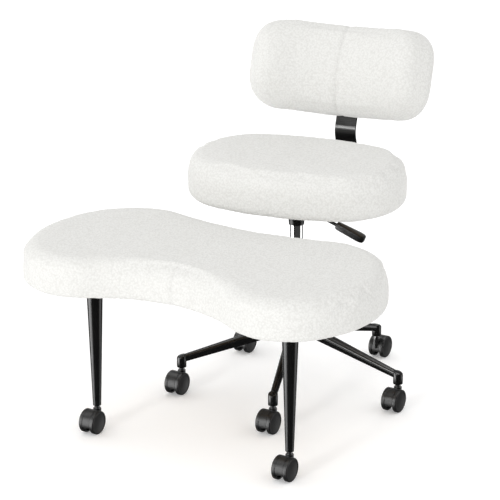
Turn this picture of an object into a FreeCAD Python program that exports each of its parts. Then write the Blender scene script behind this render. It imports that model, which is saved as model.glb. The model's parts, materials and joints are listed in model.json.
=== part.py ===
import FreeCAD, Part
import math
import os
import re

import Sketcher
from FreeCAD import Placement, Rotation, Vector

# Cross-legged office chair: a padded seat with a low backrest on a gas lift, and a bean-shaped
# stool that swings round the same column on two tapered legs.
# Millimetres and degrees. Z is up, the floor is Z = 0, the column stands on the Z axis and the
# stool lies towards -Y. The seat group is built facing -Y and then turned by seat_turn.

SIZES = {
    # Casters: twin wheels under a hood that trails behind the swivel stem
    "wheel_radius": 25,
    "caster_width": 36.5,
    "rim_width": 9,
    "rim_wall": 3.5,
    "wheel_disc": 3,
    "wheel_dish": 0.8,
    "dish_radius": 20.5,
    "wheel_chamfer": 1.5,
    "wheel_hub_radius": 7,
    "axle_radius": 3,
    "axle_end_gap": 0.5,
    "hood_web": 4,
    "hood_wall": 3.2,
    "hood_sweep": 210,
    "hood_side_gap": 0.5,
    "caster_trail": 19,
    "hood_boss_radius": 8.5,
    "hood_boss_bottom": 27,
    "hood_boss_top": 48.5,
    "stem_radius": 5.5,
    "stem_bottom": 30,
    "stem_collar_radius": 7.5,
    "stem_collar": 1.6,
    "stem_insert": 21,
    "socket_bottom": 56,
    "stem_end_gap": 1,
    # Star base
    "star_radius": 251,
    "star_turn": 1.2,
    "socket_radius": 10.5,
    "arm_tip_height": 74.5,
    "arm_tip_depth": 17,
    "arm_tip_flat": 8,
    "arm_root_height": 141,
    "arm_root_depth": 29,
    "arm_root_flat": 10,
    "arm_root_sunk": 5.4,
    "arm_side_slope": 0.55,
    "arm_edge_radius": 4.5,
    "hub_radius": 27,
    "hub_bottom": 120,
    "hub_height": 48,
    "hub_chamfer": 1.5,
    # Gas lift
    "column_radius": 25,
    "column_wall": 2.5,
    "column_bottom": 113,
    "column_floor": 4,
    "column_above_collar": 4,
    "bush_length": 98,
    "bush_flange": 3,
    "tube_radius": 14,
    "tube_wall": 2,
    "tube_bottom": 165,
    "tube_end": 10,
    "taper_bottom": 379,
    "tube_top": 407,
    "tube_top_radius": 13.2,
    "rod_radius": 5,
    "rod_flange_radius": 9,
    "rod_flange": 3,
    "piston_bottom": 262,
    "piston_height": 12,
    "bearing_radius": 14,
    "bearing_height": 6,
    "clip_radius": 10,
    "clip_thickness": 2,
    "clip_gap": 0.5,
    "rod_tail": 2,
    "pin_radius": 4,
    "pin_length": 24,
    "pin_top": 415,
    # Seat mechanism
    "seat_turn": 9.6,
    "seat_bottom": 434,
    "plate_thickness": 3,
    "plate_width": 190,
    "plate_front": 70,
    "plate_rear": 100,
    "plate_corner": 18,
    "channel_width": 84,
    "channel_wall": 3,
    "channel_front": 30,
    "channel_rear": 95,
    "channel_bottom": 403,
    "web_rear": 32,
    "collar_bottom": 376,
    "collar_bottom_radius": 16.5,
    "collar_top_radius": 19,
    # Height lever
    "lever_droop": 22,
    "lever_axis_height": 421,
    "lever_radius": 3.5,
    "lever_inner": 7,
    "lever_outer": 100,
    "pivot_reach": 28,
    "pivot_radius": 2.5,
    "ear_width": 14,
    "ear_thickness": 3,
    "ear_drop": 28,
    "ear_side_gap": 1,
    "notch_height": 12,
    "grip_start": 92,
    "grip_length": 70,
    "grip_inner_radius": 5.5,
    "grip_outer_radius": 10.5,
    "grip_end_round": 4,
    # Seat cushion and board
    "seat_corner_x": 123,
    "seat_corner_y": 58,
    "seat_corner_radius": 92,
    "seat_side_bulge": 27,
    "seat_front_bulge": 19,
    "seat_thickness": 95,
    "seat_top_round": 48,
    "seat_bottom_round": 30,
    "board_thickness": 12,
    "board_inset": 42,
    # Back bar and backrest
    "bar_width": 48,
    "bar_thickness": 6,
    "bar_front": 40,
    "bar_run": 253,
    "bar_heel_radius": 30,
    "bar_forward_angle": 21,
    "bar_rise": 20,
    "bar_neck_radius": 35,
    "back_lean": 22,
    "bar_upper": 158,
    "pad_up_bar": 117,
    "back_half_width": 228,
    "back_half_height": 103,
    "back_corner_radius": 88,
    "back_thickness": 77,
    "back_crown": 30,
    "back_bow_radius": 360,
    "back_edge_round": 36,
    "back_board_half_width": 46,
    "back_board_half_height": 72,
    "back_board_thickness": 10,
    # Stool
    "stool_bottom": 338,
    "stool_thickness": 84,
    "front_lobe_x": 240,
    "front_lobe_y": -441,
    "front_lobe_radius": 135,
    "rear_lobe_x": 216,
    "rear_lobe_y": -310,
    "rear_lobe_radius": 153,
    "stool_end_radius": 250,
    "front_waist": 74,
    "rear_waist": 29,
    "stool_top_round": 52,
    "stool_bottom_round": 24,
    "stool_board_inset": 50,
    "leg_inset": 6,
    "leg_set_back": 14,
    "leg_top_radius": 17.9,
    "leg_foot_radius": 8.8,
    "leg_plate": 76,
    "leg_plate_thickness": 3,
    "leg_plate_corner": 10,
    "swing_wall": 5,
    "swing_bush": 3,
    "swing_collar_above": 20,
    "swing_collar_below": 24,
    "swing_arm_width": 40,
    "swing_arm_depth": 18,
    "swing_arm_rise": 25,
    "swing_low_end": 182,
    "swing_bend_radius": 30,
    "swing_climb": 45,
    "swing_high_run": 205,
    # Fasteners
    "bolt_radius": 3,
    "bolt_head_radius": 5.5,
    "bolt_head": 4,
    "bolt_bite": 9,
    "mechanism_bolt_x": 78,
    "mechanism_bolt_front": 52,
    "mechanism_bolt_rear": 82,
    "bar_bolt_near": 58,
    "bar_bolt_far": 80,
    "back_bolt_rise": 32,
    "leg_bolt_offset": 27,
    "swing_bolt_near": 300,
    "swing_bolt_far": 400,
    # Clearances
    "running_gap": 0.05,
    "press_gap": 0.02,
    "weld_gap": 0.05,
    "soft_gap": 0.3,
    "hole_gap": 0.3,
}

TOUCHING = 0.01
ARM_COUNT = 5
STAR_STEP = 360 / ARM_COUNT

doc = FreeCAD.newDocument("CrossLeggedChair")
sheet = doc.addObject("Spreadsheet::Sheet", "Sizes")
for row, (alias, value) in enumerate(SIZES.items(), start=1):
    sheet.set(f"A{row}", alias)
    sheet.set(f"B{row}", str(value))
    sheet.setAlias(f"B{row}", alias)
doc.recompute()

pieces = []


# Reading the sheet

def ref(text):
    """An expression in bare size names, as the document writes it."""
    def cell(match):
        return f"Sizes.{match.group()}" if match.group() in SIZES else match.group()
    return re.sub(r"[a-z_]+", cell, str(text))


def size(text):
    """The present value of an expression in size names."""
    return float(sheet.evalExpression(ref(text)))


def bind(item, path, text):
    item.setExpression(path, ref(text))


# Sketch helpers

def new_body(label):
    body = doc.addObject("PartDesign::Body", label)
    body.Label = label
    body.AllowCompound = True
    pieces.append(body)
    return body


def origin_item(body, role):
    return next(item for item in body.Origin.OriginFeatures if item.Role == role)


def sketch_on(body, plane, offset="0", lift="0"):
    """A sketch on an origin plane, moved along its normal by offset and up in itself by lift."""
    drawing = body.newObject("Sketcher::SketchObject", f"{body.Name}_sketch")
    drawing.AttachmentSupport = [(origin_item(body, f"{plane}_Plane"), "")]
    drawing.MapMode = "FlatFace"
    bind(drawing, "AttachmentOffset.Base.z", offset)
    bind(drawing, "AttachmentOffset.Base.y", lift)
    return drawing


def set_measure(drawing, kind, *target, text):
    """A dimension that starts at its present value and stays bound to the sheet."""
    value = math.radians(size(text)) if kind == "Angle" else size(text)
    index = drawing.addConstraint(Sketcher.Constraint(kind, *target, value))
    bind(drawing, f"Constraints[{index}]", text)


def set_point(drawing, edge, end, x, y):
    set_measure(drawing, "DistanceX", -1, 1, edge, end, text=x)
    set_measure(drawing, "DistanceY", -1, 1, edge, end, text=y)


def draw_polygon(drawing, corners):
    """A closed run of straight lines through corners given as expressions."""
    spots = [Vector(size(x), size(y), 0) for x, y in corners]
    first = drawing.GeometryCount
    count = len(spots)
    for i in range(count):
        drawing.addGeometry(Part.LineSegment(spots[i], spots[(i + 1) % count]), False)
    for i in range(count):
        drawing.addConstraint(
            Sketcher.Constraint("Coincident", first + i, 2, first + (i + 1) % count, 1))
    for i, (x, y) in enumerate(corners):
        set_point(drawing, first + i, 1, x, y)


def draw_rounded(drawing, corners, radius, sharp=()):
    """A closed counter-clockwise outline with its corners rounded, all but the ones named sharp."""
    spots = [Vector(size(x), size(y), 0) for x, y in corners]
    count, bend = len(spots), size(radius)
    entries, exits, centres = [], [], []
    for i, spot in enumerate(spots):
        back, ahead = (spots[i - 1] - spot).normalize(), (spots[(i + 1) % count] - spot).normalize()
        half = back.getAngle(ahead) / 2
        reach = 0 if i in sharp else bend / math.tan(half)
        entries.append(spot + back * reach)
        exits.append(spot + ahead * reach)
        centres.append(spot + (back + ahead).normalize() * (bend / math.sin(half)))
    lines = []
    for i in range(count):
        line = Part.LineSegment(exits[i], entries[(i + 1) % count])
        lines.append(drawing.addGeometry(line, False))
    for i, (x, y) in enumerate(corners):
        if i in sharp:
            drawing.addConstraint(Sketcher.Constraint("Coincident", lines[i - 1], 2, lines[i], 1))
            set_point(drawing, lines[i], 1, x, y)
            continue
        begin, finish = entries[i] - centres[i], exits[i] - centres[i]
        ring = Part.Circle(centres[i], Vector(0, 0, 1), bend)
        arc = Part.ArcOfCircle(ring, math.atan2(begin.y, begin.x), math.atan2(finish.y, finish.x))
        edge = drawing.addGeometry(arc, False)
        corner = drawing.addGeometry(Part.Point(spots[i]), True)
        drawing.addConstraint(Sketcher.Constraint("PointOnObject", corner, 1, lines[i - 1]))
        drawing.addConstraint(Sketcher.Constraint("PointOnObject", corner, 1, lines[i]))
        drawing.addConstraint(Sketcher.Constraint("Tangent", lines[i - 1], 2, edge, 1))
        drawing.addConstraint(Sketcher.Constraint("Tangent", edge, 2, lines[i], 1))
        set_measure(drawing, "Radius", edge, text=radius)
        set_point(drawing, corner, 1, x, y)


def draw_rectangle(drawing, left, low, right, high):
    draw_polygon(drawing, [(left, low), (right, low), (right, high), (left, high)])


def draw_circle(drawing, x, y, radius):
    spot = Vector(size(x), size(y), 0)
    edge = drawing.addGeometry(Part.Circle(spot, Vector(0, 0, 1), size(radius)), False)
    set_point(drawing, edge, 3, x, y)
    set_measure(drawing, "Radius", edge, text=radius)


def draw_arc_loop(drawing, arcs):
    """A closed loop of tangent arcs, counter-clockwise.

    Each arc is (x, y, radius, hollow, fixed): its centre, its radius, whether it curves inwards,
    and whether its centre is set by itself instead of by its neighbours.
    """
    count = len(arcs)
    centres = [Vector(size(x), size(y), 0) for x, y, _, _, _ in arcs]
    radii = [size(radius) for _, _, radius, _, _ in arcs]
    joints = []
    for i in range(count):
        j = (i + 1) % count
        towards = (centres[j] - centres[i]).normalize()
        outside = arcs[i][3] != arcs[j][3]
        side = 1 if outside or radii[i] > radii[j] else -1
        joints.append(centres[i] + towards * (side * radii[i]))
    first = drawing.GeometryCount
    for i, (_, _, _, hollow, _) in enumerate(arcs):
        begin, finish = joints[i - 1] - centres[i], joints[i] - centres[i]
        start, end = math.atan2(begin.y, begin.x), math.atan2(finish.y, finish.x)
        if hollow:
            start, end = end, start
        ring = Part.Circle(centres[i], Vector(0, 0, 1), radii[i])
        drawing.addGeometry(Part.ArcOfCircle(ring, start, end), False)
    for i in range(count):
        j = (i + 1) % count
        leaves = 1 if arcs[i][3] else 2
        enters = 2 if arcs[j][3] else 1
        drawing.addConstraint(
            Sketcher.Constraint("Tangent", first + i, leaves, first + j, enters))
    for i, (x, y, radius, _, fixed) in enumerate(arcs):
        set_measure(drawing, "Radius", first + i, text=radius)
        if fixed:
            set_point(drawing, first + i, 3, x, y)


def draw_path(drawing, start, heading, steps):
    """Straight runs joined by tangent bends: ("run", length) and ("bend", radius, turn)."""
    x, y = (size(value) for value in start)
    angle, angle_text = size(heading), heading
    first = drawing.GeometryCount
    for step in steps:
        along = Vector(math.cos(math.radians(angle)), math.sin(math.radians(angle)), 0)
        here = Vector(x, y, 0)
        if step[0] == "run":
            there = here + along * size(step[1])
            edge = drawing.addGeometry(Part.LineSegment(here, there), False)
            set_measure(drawing, "Distance", edge, text=step[1])
            set_measure(drawing, "Angle", edge, text=f"({angle_text}) * 1 deg")
        else:
            radius, turn = size(step[1]), size(step[2])
            side = 1 if turn > 0 else -1
            centre = here + Vector(-along.y, along.x, 0) * (side * radius)
            begin = math.radians(angle - 90 * side)
            finish = begin + math.radians(turn)
            ring = Part.Circle(centre, Vector(0, 0, 1), radius)
            low, high = (begin, finish) if turn > 0 else (finish, begin)
            edge = drawing.addGeometry(Part.ArcOfCircle(ring, low, high), False)
            set_measure(drawing, "Radius", edge, text=step[1])
            there = centre + Vector(math.cos(finish), math.sin(finish), 0) * radius
            angle, angle_text = angle + turn, f"{angle_text} + ({step[2]})"
        x, y = there.x, there.y
    for i in range(1, len(steps)):
        ends = []
        for k, forward in ((i - 1, True), (i, False)):
            backwards = steps[k][0] == "bend" and size(steps[k][2]) < 0
            ends.append(2 if forward != backwards else 1)
        drawing.addConstraint(
            Sketcher.Constraint("Tangent", first + i - 1, ends[0], first + i, ends[1]))
    set_point(drawing, first, 1, *start)


# Feature helpers

def add_feature(body, kind, **links):
    feature = body.newObject(f"PartDesign::{kind}", f"{body.Name}_{kind.lower()}")
    for name, value in links.items():
        setattr(feature, name, value)
    body.Tip = feature
    return feature


def pad(body, drawing, length, both_ways=False):
    feature = add_feature(body, "Pad", Profile=drawing)
    bind(feature, "Length", length)
    if both_ways:
        feature.SideType = "Symmetric"
    doc.recompute()
    return feature


def cut(body, drawing, depth, way="along"):
    """A pocket along the sketch's normal, against it, or both ways."""
    before = body.Shape.Volume
    feature = add_feature(body, "Pocket", Profile=drawing, Reversed=way == "along")
    bind(feature, "Length", depth)
    if way == "both":
        feature.SideType = "Symmetric"
    doc.recompute()
    if body.Shape.Volume >= before:
        raise RuntimeError(f"{body.Label}: the pocket cut nothing")


def revolve(body, drawing, axis="V_Axis", kind="Revolution", sweep=None):
    feature = add_feature(body, kind, Profile=drawing, ReferenceAxis=(drawing, [axis]))
    if sweep:
        bind(feature, "Angle", sweep)
        feature.Midplane = True
    doc.recompute()


def round_edges(body, radius, chosen):
    """Fillet the edges of the body's last feature that the test picks."""
    base = body.Tip
    names = [f"Edge{i}" for i, edge in enumerate(base.Shape.Edges, 1) if chosen(edge)]
    feature = add_feature(body, "Fillet", Base=(base, names))
    bind(feature, "Radius", radius)
    doc.recompute()


def level(height):
    """A test for edges that lie flat at one height."""
    def chosen(edge):
        box = edge.BoundBox
        return abs(box.ZMin - height) < TOUCHING and abs(box.ZMax - height) < TOUCHING
    return chosen


def upright(edge):
    return edge.BoundBox.XLength + edge.BoundBox.YLength < TOUCHING


def turned(label, profile):
    """A piece turned about the Z axis from (radius, height) corners."""
    body = new_body(label)
    drawing = sketch_on(body, "XZ")
    draw_polygon(drawing, profile)
    revolve(body, drawing)
    return body


def sweep_along(body, section, path):
    edges = [f"Edge{i}" for i in range(1, path.GeometryCount + 1)]
    add_feature(body, "AdditivePipe", Profile=section, Spine=(path, edges))
    doc.recompute()


def turn_with_seat(body):
    body.Placement = Placement(Vector(), Rotation(Vector(0, 0, 1), 1))
    bind(body, "Placement.Rotation.Angle", "seat_turn")


def seat_place():
    return Placement(Vector(), Rotation(Vector(0, 0, 1), size("seat_turn")))


# Places worked out from the sizes

PIVOT_HEIGHT = "lever_axis_height - pivot_reach * tan(lever_droop)"
PLATE_BOTTOM = "(seat_bottom - plate_thickness)"
BAR_MIDDLE = f"({PLATE_BOTTOM} - bar_thickness / 2)"
BACK_Y = ("bar_front + bar_run + bar_heel_radius * cos(bar_forward_angle)"
          " - bar_rise * sin(bar_forward_angle)"
          " + bar_neck_radius * (cos(bar_forward_angle) - cos(back_lean))"
          " + pad_up_bar * sin(back_lean) - bar_thickness / 2 * cos(back_lean)")
BACK_Z = (f"{BAR_MIDDLE} + bar_heel_radius * (1 + sin(bar_forward_angle))"
          " + bar_rise * cos(bar_forward_angle)"
          " + bar_neck_radius * (sin(bar_forward_angle) + sin(back_lean))"
          " + pad_up_bar * cos(back_lean) + bar_thickness / 2 * sin(back_lean)")
SWING_RADIUS = "(column_radius + running_gap + swing_bush + press_gap + swing_wall)"
ARM_HIGH_MIDDLE = "(stool_bottom - swing_arm_depth / 2)"
ARM_LOW_MIDDLE = f"({ARM_HIGH_MIDDLE} - swing_arm_rise)"
SWING_BOTTOM = f"({ARM_LOW_MIDDLE} - swing_collar_below)"
SWING_TOP = f"({ARM_LOW_MIDDLE} + swing_collar_above)"
COLUMN_TOP = f"({SWING_TOP} + column_above_collar)"
LEG_X = "(front_lobe_x - leg_inset)"
LEG_Y = "(front_lobe_y + leg_set_back)"
LEG_SIDES = (f"-{LEG_X}", LEG_X)


# Star base

def build_hub():
    bore = "column_radius + press_gap"
    top = "hub_bottom + hub_height"
    turned("base_hub", [
        (bore, "hub_bottom"), ("hub_radius - hub_chamfer", "hub_bottom"),
        ("hub_radius", "hub_bottom + hub_chamfer"), ("hub_radius", f"{top} - hub_chamfer"),
        ("hub_radius - hub_chamfer", top), (bore, top)])


def arm_section(body, reach, end):
    """A six-sided section whose side corners make the ridge along the arm."""
    drawing = sketch_on(body, "YZ", reach)
    half_flat = f"arm_{end}_flat / 2"
    half_width = f"({half_flat} + arm_side_slope * arm_{end}_depth / 2)"
    middle = f"arm_{end}_height"
    top, low = f"{middle} + arm_{end}_depth / 2", f"{middle} - arm_{end}_depth / 2"
    draw_rounded(drawing, [
        (f"-{half_flat}", low), (half_flat, low), (half_width, middle),
        (half_flat, top), (f"-{half_flat}", top), (f"-{half_width}", middle)],
        "arm_edge_radius", sharp=(2, 5))
    return drawing


def build_arm(number):
    body = new_body(f"base_arm_{number + 1}")
    root = arm_section(body, "hub_radius - arm_root_sunk", "root")
    tip = arm_section(body, "star_radius", "tip")
    add_feature(body, "AdditiveLoft", Profile=root, Sections=[tip], Ruled=True)
    doc.recompute()
    socket = sketch_on(body, "XY", "socket_bottom")
    draw_circle(socket, "star_radius", "0", "socket_radius")
    pad(body, socket, "arm_tip_height + arm_tip_depth / 2 - socket_bottom")
    bore = sketch_on(body, "XY", "socket_bottom")
    draw_circle(bore, "star_radius", "0", "stem_radius + running_gap")
    cut(body, bore, "stem_insert + stem_end_gap")
    weld = sketch_on(body, "XY", "hub_bottom - arm_root_depth")
    draw_circle(weld, "0", "0", "hub_radius + weld_gap")
    cut(body, weld, "hub_height + 2 * arm_root_depth")
    body.Placement = Placement(Vector(), Rotation(Vector(0, 0, 1), 1))
    bind(body, "Placement.Rotation.Angle", f"star_turn + {number * STAR_STEP}")


# Gas lift

def build_lift():
    inside = "column_radius - column_wall"
    floor = "column_bottom + column_floor"
    turned("column_tube", [
        ("rod_radius + hole_gap", "column_bottom"), ("column_radius", "column_bottom"),
        ("column_radius", COLUMN_TOP), (inside, COLUMN_TOP), (inside, floor),
        ("rod_radius + hole_gap", floor)])
    bush_outer = f"{inside} - press_gap"
    turned("column_bush", [
        ("tube_radius + running_gap", f"{COLUMN_TOP} - bush_length"),
        (bush_outer, f"{COLUMN_TOP} - bush_length"), (bush_outer, COLUMN_TOP),
        ("column_radius", COLUMN_TOP), ("column_radius", f"{COLUMN_TOP} + bush_flange"),
        ("tube_radius + running_gap", f"{COLUMN_TOP} + bush_flange")])
    turned("thrust_bearing", [
        ("rod_radius + running_gap", floor), ("bearing_radius", floor),
        ("bearing_radius", f"{floor} + bearing_height"),
        ("rod_radius + running_gap", f"{floor} + bearing_height")])

    flange_low = f"{floor} + bearing_height"
    flange_top = f"{flange_low} + rod_flange"
    bore = "tube_radius - tube_wall"
    piston = f"{bore} - running_gap"
    rod_end = "column_bottom - clip_gap - clip_thickness - rod_tail"
    turned("piston_rod", [
        ("0", rod_end), ("rod_radius", rod_end), ("rod_radius", flange_low),
        ("rod_flange_radius", flange_low), ("rod_flange_radius", flange_top),
        ("rod_radius", flange_top), ("rod_radius", "piston_bottom"), (piston, "piston_bottom"),
        (piston, "piston_bottom + piston_height"), ("0", "piston_bottom + piston_height")])
    turned("rod_clip", [
        ("rod_radius + press_gap", "column_bottom - clip_gap - clip_thickness"),
        ("clip_radius", "column_bottom - clip_gap - clip_thickness"),
        ("clip_radius", "column_bottom - clip_gap"),
        ("rod_radius + press_gap", "column_bottom - clip_gap")])
    pin_bore = "pin_radius + running_gap"
    turned("pressure_tube", [
        ("rod_radius + running_gap", "tube_bottom"), ("tube_radius", "tube_bottom"),
        ("tube_radius", "taper_bottom"), ("tube_top_radius", "tube_top"), (pin_bore, "tube_top"),
        (pin_bore, "tube_top - tube_end"), (bore, "tube_top - tube_end"),
        (bore, "tube_bottom + tube_end"), ("rod_radius + running_gap", "tube_bottom + tube_end")])
    turned("release_pin", [
        ("0", "pin_top - pin_length"), ("pin_radius", "pin_top - pin_length"),
        ("pin_radius", "pin_top"), ("0", "pin_top")])


# Seat mechanism: a pressed plate, a channel under it and the taper collar that grips the lift

def mechanism_bolt_spots():
    spots = []
    for x in ("-mechanism_bolt_x", "mechanism_bolt_x"):
        spots += [(x, "-mechanism_bolt_front"), (x, "mechanism_bolt_rear")]
    return spots


def bar_bolt_spots():
    return [("0", "bar_bolt_near"), ("0", "bar_bolt_far")]


def build_mechanism():
    body = new_body("seat_mechanism")
    half = "plate_width / 2"
    outline = sketch_on(body, "XY", PLATE_BOTTOM)
    draw_rectangle(outline, f"-{half}", "-plate_front", half, "plate_rear")
    pad(body, outline, "plate_thickness")
    round_edges(body, "plate_corner", upright)

    out = "channel_width / 2"
    inner = f"{out} - channel_wall"
    walls = sketch_on(body, "XY", "channel_bottom")
    draw_rectangle(walls, f"-({out})", "-channel_front", f"-({inner})", "channel_rear")
    draw_rectangle(walls, inner, "-channel_front", out, "channel_rear")
    pad(body, walls, f"{PLATE_BOTTOM} - channel_bottom")
    web = sketch_on(body, "XY", "channel_bottom")
    draw_rectangle(web, f"-({out})", "-channel_front", out, "web_rear")
    pad(body, web, "channel_wall")

    collar_top = "channel_bottom + channel_wall"
    collar = sketch_on(body, "XZ")
    draw_polygon(collar, [
        ("0", "collar_bottom"), ("collar_bottom_radius", "collar_bottom"),
        ("collar_top_radius", collar_top), ("0", collar_top)])
    revolve(body, collar)
    slope = "(tube_radius - tube_top_radius) / (tube_top - taper_bottom)"
    throat = f"tube_radius + press_gap - ({collar_top} - taper_bottom) * {slope}"
    socket = sketch_on(body, "XZ")
    draw_polygon(socket, [
        ("0", "collar_bottom"), ("tube_radius + press_gap", "collar_bottom"),
        ("tube_radius + press_gap", "taper_bottom"), (throat, collar_top), ("0", collar_top)])
    revolve(body, socket, kind="Groove")

    ear_inner = "lever_radius + ear_side_gap"
    ear_outer = f"{ear_inner} + ear_thickness"
    notch = sketch_on(body, "XY", "channel_bottom")
    draw_rectangle(notch, "collar_top_radius + ear_side_gap", f"-({ear_outer} + ear_side_gap)",
                   f"{out} + ear_side_gap", f"{ear_outer} + ear_side_gap")
    cut(body, notch, "notch_height")
    ears = sketch_on(body, "XY", f"{PLATE_BOTTOM} - ear_drop")
    ear_near, ear_far = "pivot_reach - ear_width / 2", "pivot_reach + ear_width / 2"
    draw_rectangle(ears, ear_near, f"-({ear_outer})", ear_far, f"-({ear_inner})")
    draw_rectangle(ears, ear_near, ear_inner, ear_far, ear_outer)
    pad(body, ears, "ear_drop")
    pivot = sketch_on(body, "XZ")
    draw_circle(pivot, "pivot_reach", PIVOT_HEIGHT, "pivot_radius + press_gap")
    cut(body, pivot, f"3 * ({ear_outer})", way="both")

    holes = sketch_on(body, "XY", PLATE_BOTTOM)
    for x, y in mechanism_bolt_spots() + bar_bolt_spots():
        draw_circle(holes, x, y, "bolt_radius + hole_gap")
    cut(body, holes, "plate_thickness")
    turn_with_seat(body)


def build_bolts(label, groups, shank_top):
    """Bolts with their heads below; each group is its spots and the height it clamps from."""
    body = new_body(label)
    for spots, clamp in groups:
        heads = sketch_on(body, "XY", f"{clamp} - bolt_head")
        shanks = sketch_on(body, "XY", clamp)
        for x, y in spots:
            draw_circle(heads, x, y, "bolt_head_radius")
            draw_circle(shanks, x, y, "bolt_radius")
        pad(body, heads, "bolt_head")
        pad(body, shanks, f"{shank_top} - ({clamp})")
    return body


# Height lever

def build_lever():
    """The lever is drawn level along X and then tipped down by its droop about the lift axis."""
    rod = new_body("lever_rod")
    section = sketch_on(rod, "YZ", "-lever_inner")
    draw_circle(section, "0", "0", "lever_radius")
    pad(rod, section, "lever_inner + lever_outer")
    eye = sketch_on(rod, "XZ")
    draw_circle(eye, "pivot_reach / cos(lever_droop)", "0", "pivot_radius + running_gap")
    cut(rod, eye, "4 * lever_radius", way="both")

    grip = new_body("lever_grip")
    profile = sketch_on(grip, "XZ")
    bore, bore_end = "lever_radius + press_gap", "lever_outer + soft_gap"
    grip_end = "grip_start + grip_length"
    draw_rounded(profile, [
        ("grip_start", bore), (bore_end, bore), (bore_end, "0"), (grip_end, "0"),
        (grip_end, "grip_outer_radius"), ("grip_start", "grip_inner_radius")],
        "grip_end_round", sharp=(0, 1, 2, 3, 5))
    revolve(grip, profile, "H_Axis")

    tip = Placement(Vector(0, 0, size("lever_axis_height")),
                    Rotation(Vector(0, 1, 0), size("lever_droop")))
    for body in (rod, grip):
        body.Placement = seat_place() * tip

    pin = new_body("lever_pin")
    outline = sketch_on(pin, "XZ")
    draw_circle(outline, "pivot_reach", PIVOT_HEIGHT, "pivot_radius")
    pad(pin, outline, "2 * (lever_radius + ear_side_gap + ear_thickness)", both_ways=True)
    turn_with_seat(pin)


# Seat cushion and board

def draw_seat_outline(drawing, inset):
    """A soft-cornered seat outline of eight arcs, drawn in from its edge by inset."""
    corner = f"(seat_corner_radius - ({inset}))"
    side = f"({corner} + seat_side_bulge / 2 + seat_corner_y ^ 2 / (2 * seat_side_bulge))"
    front = f"({corner} + seat_front_bulge / 2 + seat_corner_x ^ 2 / (2 * seat_front_bulge))"
    side_x = f"seat_corner_x + {corner} + seat_side_bulge - {side}"
    front_y = f"seat_corner_y + {corner} + seat_front_bulge - {front}"
    draw_arc_loop(drawing, [
        (side_x, "0", side, False, False),
        ("seat_corner_x", "seat_corner_y", corner, False, True),
        ("0", front_y, front, False, False),
        ("-seat_corner_x", "seat_corner_y", corner, False, True),
        (f"-({side_x})", "0", side, False, False),
        ("-seat_corner_x", "-seat_corner_y", corner, False, True),
        ("0", f"-({front_y})", front, False, False),
        ("seat_corner_x", "-seat_corner_y", corner, False, True)])


def build_board(label, draw_outline, inset, bottom, holes):
    board = new_body(label)
    outline = sketch_on(board, "XY", bottom)
    draw_outline(outline, inset)
    pad(board, outline, "board_thickness")
    bores = sketch_on(board, "XY", bottom)
    for x, y in holes:
        draw_circle(bores, x, y, "bolt_radius + press_gap")
    cut(board, bores, "bolt_bite + soft_gap")
    return board


def build_cushion(label, draw_outline, inset, name):
    """A block rounded over at its top and bottom, with a recess below for its board."""
    cushion = new_body(label)
    bottom, thickness = f"{name}_bottom", f"{name}_thickness"
    outline = sketch_on(cushion, "XY", bottom)
    draw_outline(outline, "0")
    pad(cushion, outline, thickness)
    round_edges(cushion, f"{name}_top_round", level(size(f"{bottom} + {thickness}")))
    round_edges(cushion, f"{name}_bottom_round", level(size(bottom)))
    recess = sketch_on(cushion, "XY", bottom)
    draw_outline(recess, f"{inset} - soft_gap")
    cut(cushion, recess, "board_thickness + soft_gap")
    return cushion


# Back bar and backrest

def back_bolt_spots():
    return [("0", "-back_bolt_rise"), ("0", "back_bolt_rise")]


def build_back_bar():
    """A flat bar swept along its bends: back under the seat, up, forward and then back again."""
    body = new_body("back_bar")
    path = sketch_on(body, "YZ")
    draw_path(path, ("bar_front", BAR_MIDDLE), "0", [
        ("run", "bar_run"), ("bend", "bar_heel_radius", "90 + bar_forward_angle"),
        ("run", "bar_rise"), ("bend", "bar_neck_radius", "-(bar_forward_angle + back_lean)"),
        ("run", "bar_upper")])
    section = sketch_on(body, "XZ", "-bar_front", BAR_MIDDLE)
    draw_rectangle(section, "-bar_width / 2", "-bar_thickness / 2", "bar_width / 2", "bar_thickness / 2")
    sweep_along(body, section, path)
    holes = sketch_on(body, "XY", f"{BAR_MIDDLE} - bar_thickness / 2")
    for x, y in bar_bolt_spots():
        draw_circle(holes, x, y, "bolt_radius + hole_gap")
    cut(body, holes, "bar_thickness")
    upper = sketch_on(body, "XZ", f"-({BACK_Y})", BACK_Z)
    upper.AttachmentOffset = Placement(Vector(), Rotation(Vector(-1, 0, 0), 1))
    bind(upper, "AttachmentOffset.Rotation.Angle", "back_lean")
    for x, y in back_bolt_spots():
        draw_circle(upper, x, y, "bolt_radius + hole_gap")
    cut(body, upper, "bar_thickness", way="against")
    turn_with_seat(body)


def lean_back(body):
    """Set a piece drawn on the bar's front face, with Y to the rear, into its leaning place."""
    lean = Rotation(Vector(1, 0, 0), -size("back_lean"))
    body.Placement = seat_place() * Placement(Vector(0, size(BACK_Y), size(BACK_Z)), lean)


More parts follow.
